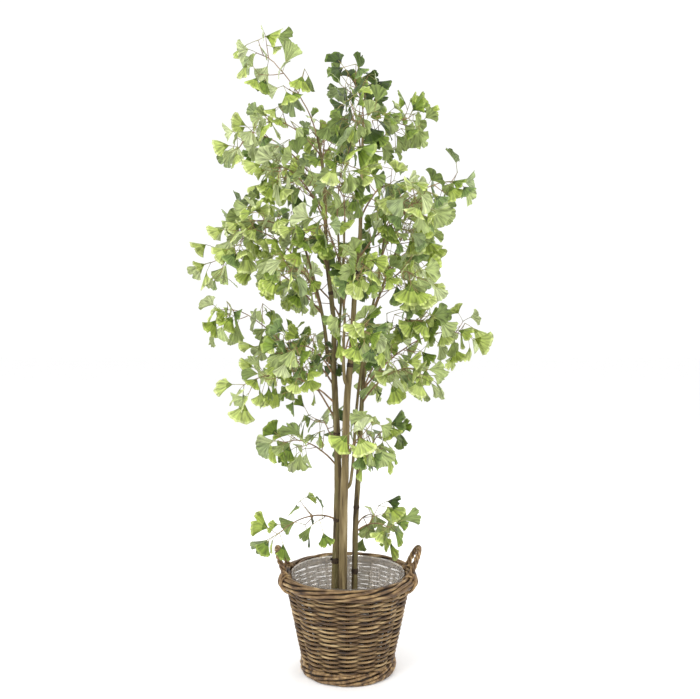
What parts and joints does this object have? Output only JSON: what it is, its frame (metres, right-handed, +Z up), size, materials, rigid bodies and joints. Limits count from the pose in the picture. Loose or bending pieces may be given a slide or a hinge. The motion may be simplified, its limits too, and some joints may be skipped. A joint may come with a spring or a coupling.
{
  "type": "artificial ginkgo tree in a wicker basket",
  "caption": "Artificial ginkgo tree: slender bare stems rise from a filled pot inside a round wicker basket with rope handles and carry a tall open crown of fan-shaped leaves.",
  "frame": {"origin": "centre of the basket's flat underside, on the floor", "axes": "+Z up along the tree, +X to the right and -Y towards the viewer in the picture"},
  "size_m": [0.9487, 0.7969, 1.8993],
  "materials": {
    "wicker": "satin",
    "wicker_rim": "satin",
    "clear_film": "gloss",
    "pot_plastic": "matte",
    "cement": "matte",
    "dark_bark": "matte",
    "pale_bark": "matte",
    "leaf_green": "satin"
  },
  "bodies": {
    "root": {"basket_body": "wicker", "basket_rim": "wicker_rim", "basket_foot": "wicker", "handle_left": "wicker_rim", "handle_right": "wicker_rim", "liner": "clear_film", "inner_pot": "pot_plastic", "cement_fill": "cement", "stem_left": "dark_bark", "stem_middle": "pale_bark", "stem_right": "dark_bark", "bough_left": "dark_bark", "bough_inner": "dark_bark", "bough_middle": "pale_bark", "bough_right": "dark_bark", "foliage_low_left": "leaf_green", "foliage_low_right": "leaf_green", "foliage_low_back": "leaf_green", "foliage_left_a": "leaf_green", "foliage_right_a": "leaf_green", "foliage_front_a": "leaf_green", "foliage_back_a": "leaf_green", "foliage_left_b": "leaf_green", "foliage_left_c": "leaf_green", "foliage_right_b": "leaf_green", "foliage_right_c": "leaf_green", "foliage_right_f": "leaf_green", "foliage_front_b": "leaf_green", "foliage_front_c": "leaf_green", "foliage_back_b": "leaf_green", "foliage_back_c": "leaf_green", "foliage_left_d": "leaf_green", "foliage_left_e": "leaf_green", "foliage_front_d": "leaf_green", "foliage_front_e": "leaf_green", "foliage_front_f": "leaf_green", "foliage_right_d": "leaf_green", "foliage_back_d": "leaf_green", "foliage_back_e": "leaf_green", "foliage_back_f": "leaf_green", "foliage_left_f": "leaf_green", "foliage_left_g": "leaf_green", "foliage_front_g": "leaf_green", "foliage_front_h": "leaf_green", "foliage_front_i": "leaf_green", "foliage_front_j": "leaf_green", "foliage_front_k": "leaf_green", "foliage_right_e": "leaf_green", "foliage_back_g": "leaf_green", "foliage_back_h": "leaf_green", "foliage_back_i": "leaf_green", "foliage_left_h": "leaf_green", "foliage_top_left": "leaf_green", "foliage_top_middle": "leaf_green", "foliage_top_right": "leaf_green", "foliage_top_front": "leaf_green", "foliage_top_back": "leaf_green", "foliage_front_l": "leaf_green"}
  },
  "joints": []
}
